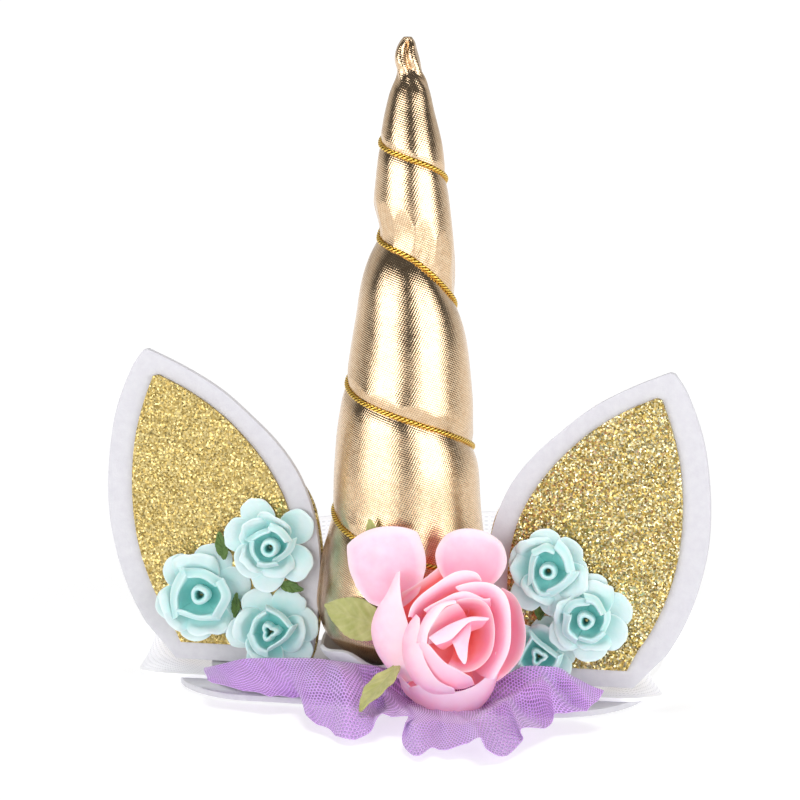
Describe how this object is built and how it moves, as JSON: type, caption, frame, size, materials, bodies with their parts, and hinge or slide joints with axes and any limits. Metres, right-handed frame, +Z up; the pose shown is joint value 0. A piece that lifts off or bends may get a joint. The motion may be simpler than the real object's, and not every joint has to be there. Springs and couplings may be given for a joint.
{
  "type": "unicorn horn headband",
  "caption": "Soft costume headband: a stuffed gold horn and two glitter ears on a felt base with tulle and cloth roses, on a loop of elastic.",
  "frame": {"origin": "on the underside of the felt base, under the axis of the horn", "axes": "+Z up along the horn, +X to the wearer's left, -Y to the front, where the ruffle and the pink rose are"},
  "size_m": [0.1314, 0.1485, 0.1389],
  "materials": {
    "gold_foil": "crinkled champagne gold foil on woven cloth, glossy",
    "gold_cord": "braided metallic thread",
    "gold_glitter": "coarse glitter on foam sheet",
    "white_felt": "matt felt with short fibres",
    "white_elastic": "soft woven elastic mesh",
    "lilac_tulle": "hexagonal net, see-through",
    "teal_paper": "matt mulberry paper",
    "pink_silk": "pressed silk cloth with a soft sheen",
    "olive_leaf": "starched cloth"
  },
  "bodies": {
    "root": {"horn": "gold_foil", "horn_cord": "gold_cord", "horn_collar": "white_felt", "base_felt_upper": "white_felt", "base_felt_lower": "white_felt", "band": "white_elastic", "ear_felt_left": "white_felt", "ear_felt_right": "white_felt", "ear_glitter_left": "gold_glitter", "ear_glitter_right": "gold_glitter", "ear_backing_left": "gold_glitter", "ear_backing_right": "gold_glitter", "tulle_ruffle": "lilac_tulle", "rose_left_top": "teal_paper", "rose_left_outer": "teal_paper", "rose_left_low": "teal_paper", "rose_right_top": "teal_paper", "rose_right_outer": "teal_paper", "rose_right_low": "teal_paper", "sprig_left_inner": "olive_leaf", "sprig_left_outer": "olive_leaf", "sprig_left_mid": "olive_leaf", "sprig_right": "olive_leaf", "pink_rose_outer": "pink_silk", "pink_rose_inner": "pink_silk", "pink_rose_bud": "pink_silk", "pink_petal_left": "pink_silk", "pink_petal_right": "pink_silk", "leaf_left": "olive_leaf", "leaf_up": "olive_leaf", "leaf_low": "olive_leaf"}
  },
  "joints": []
}
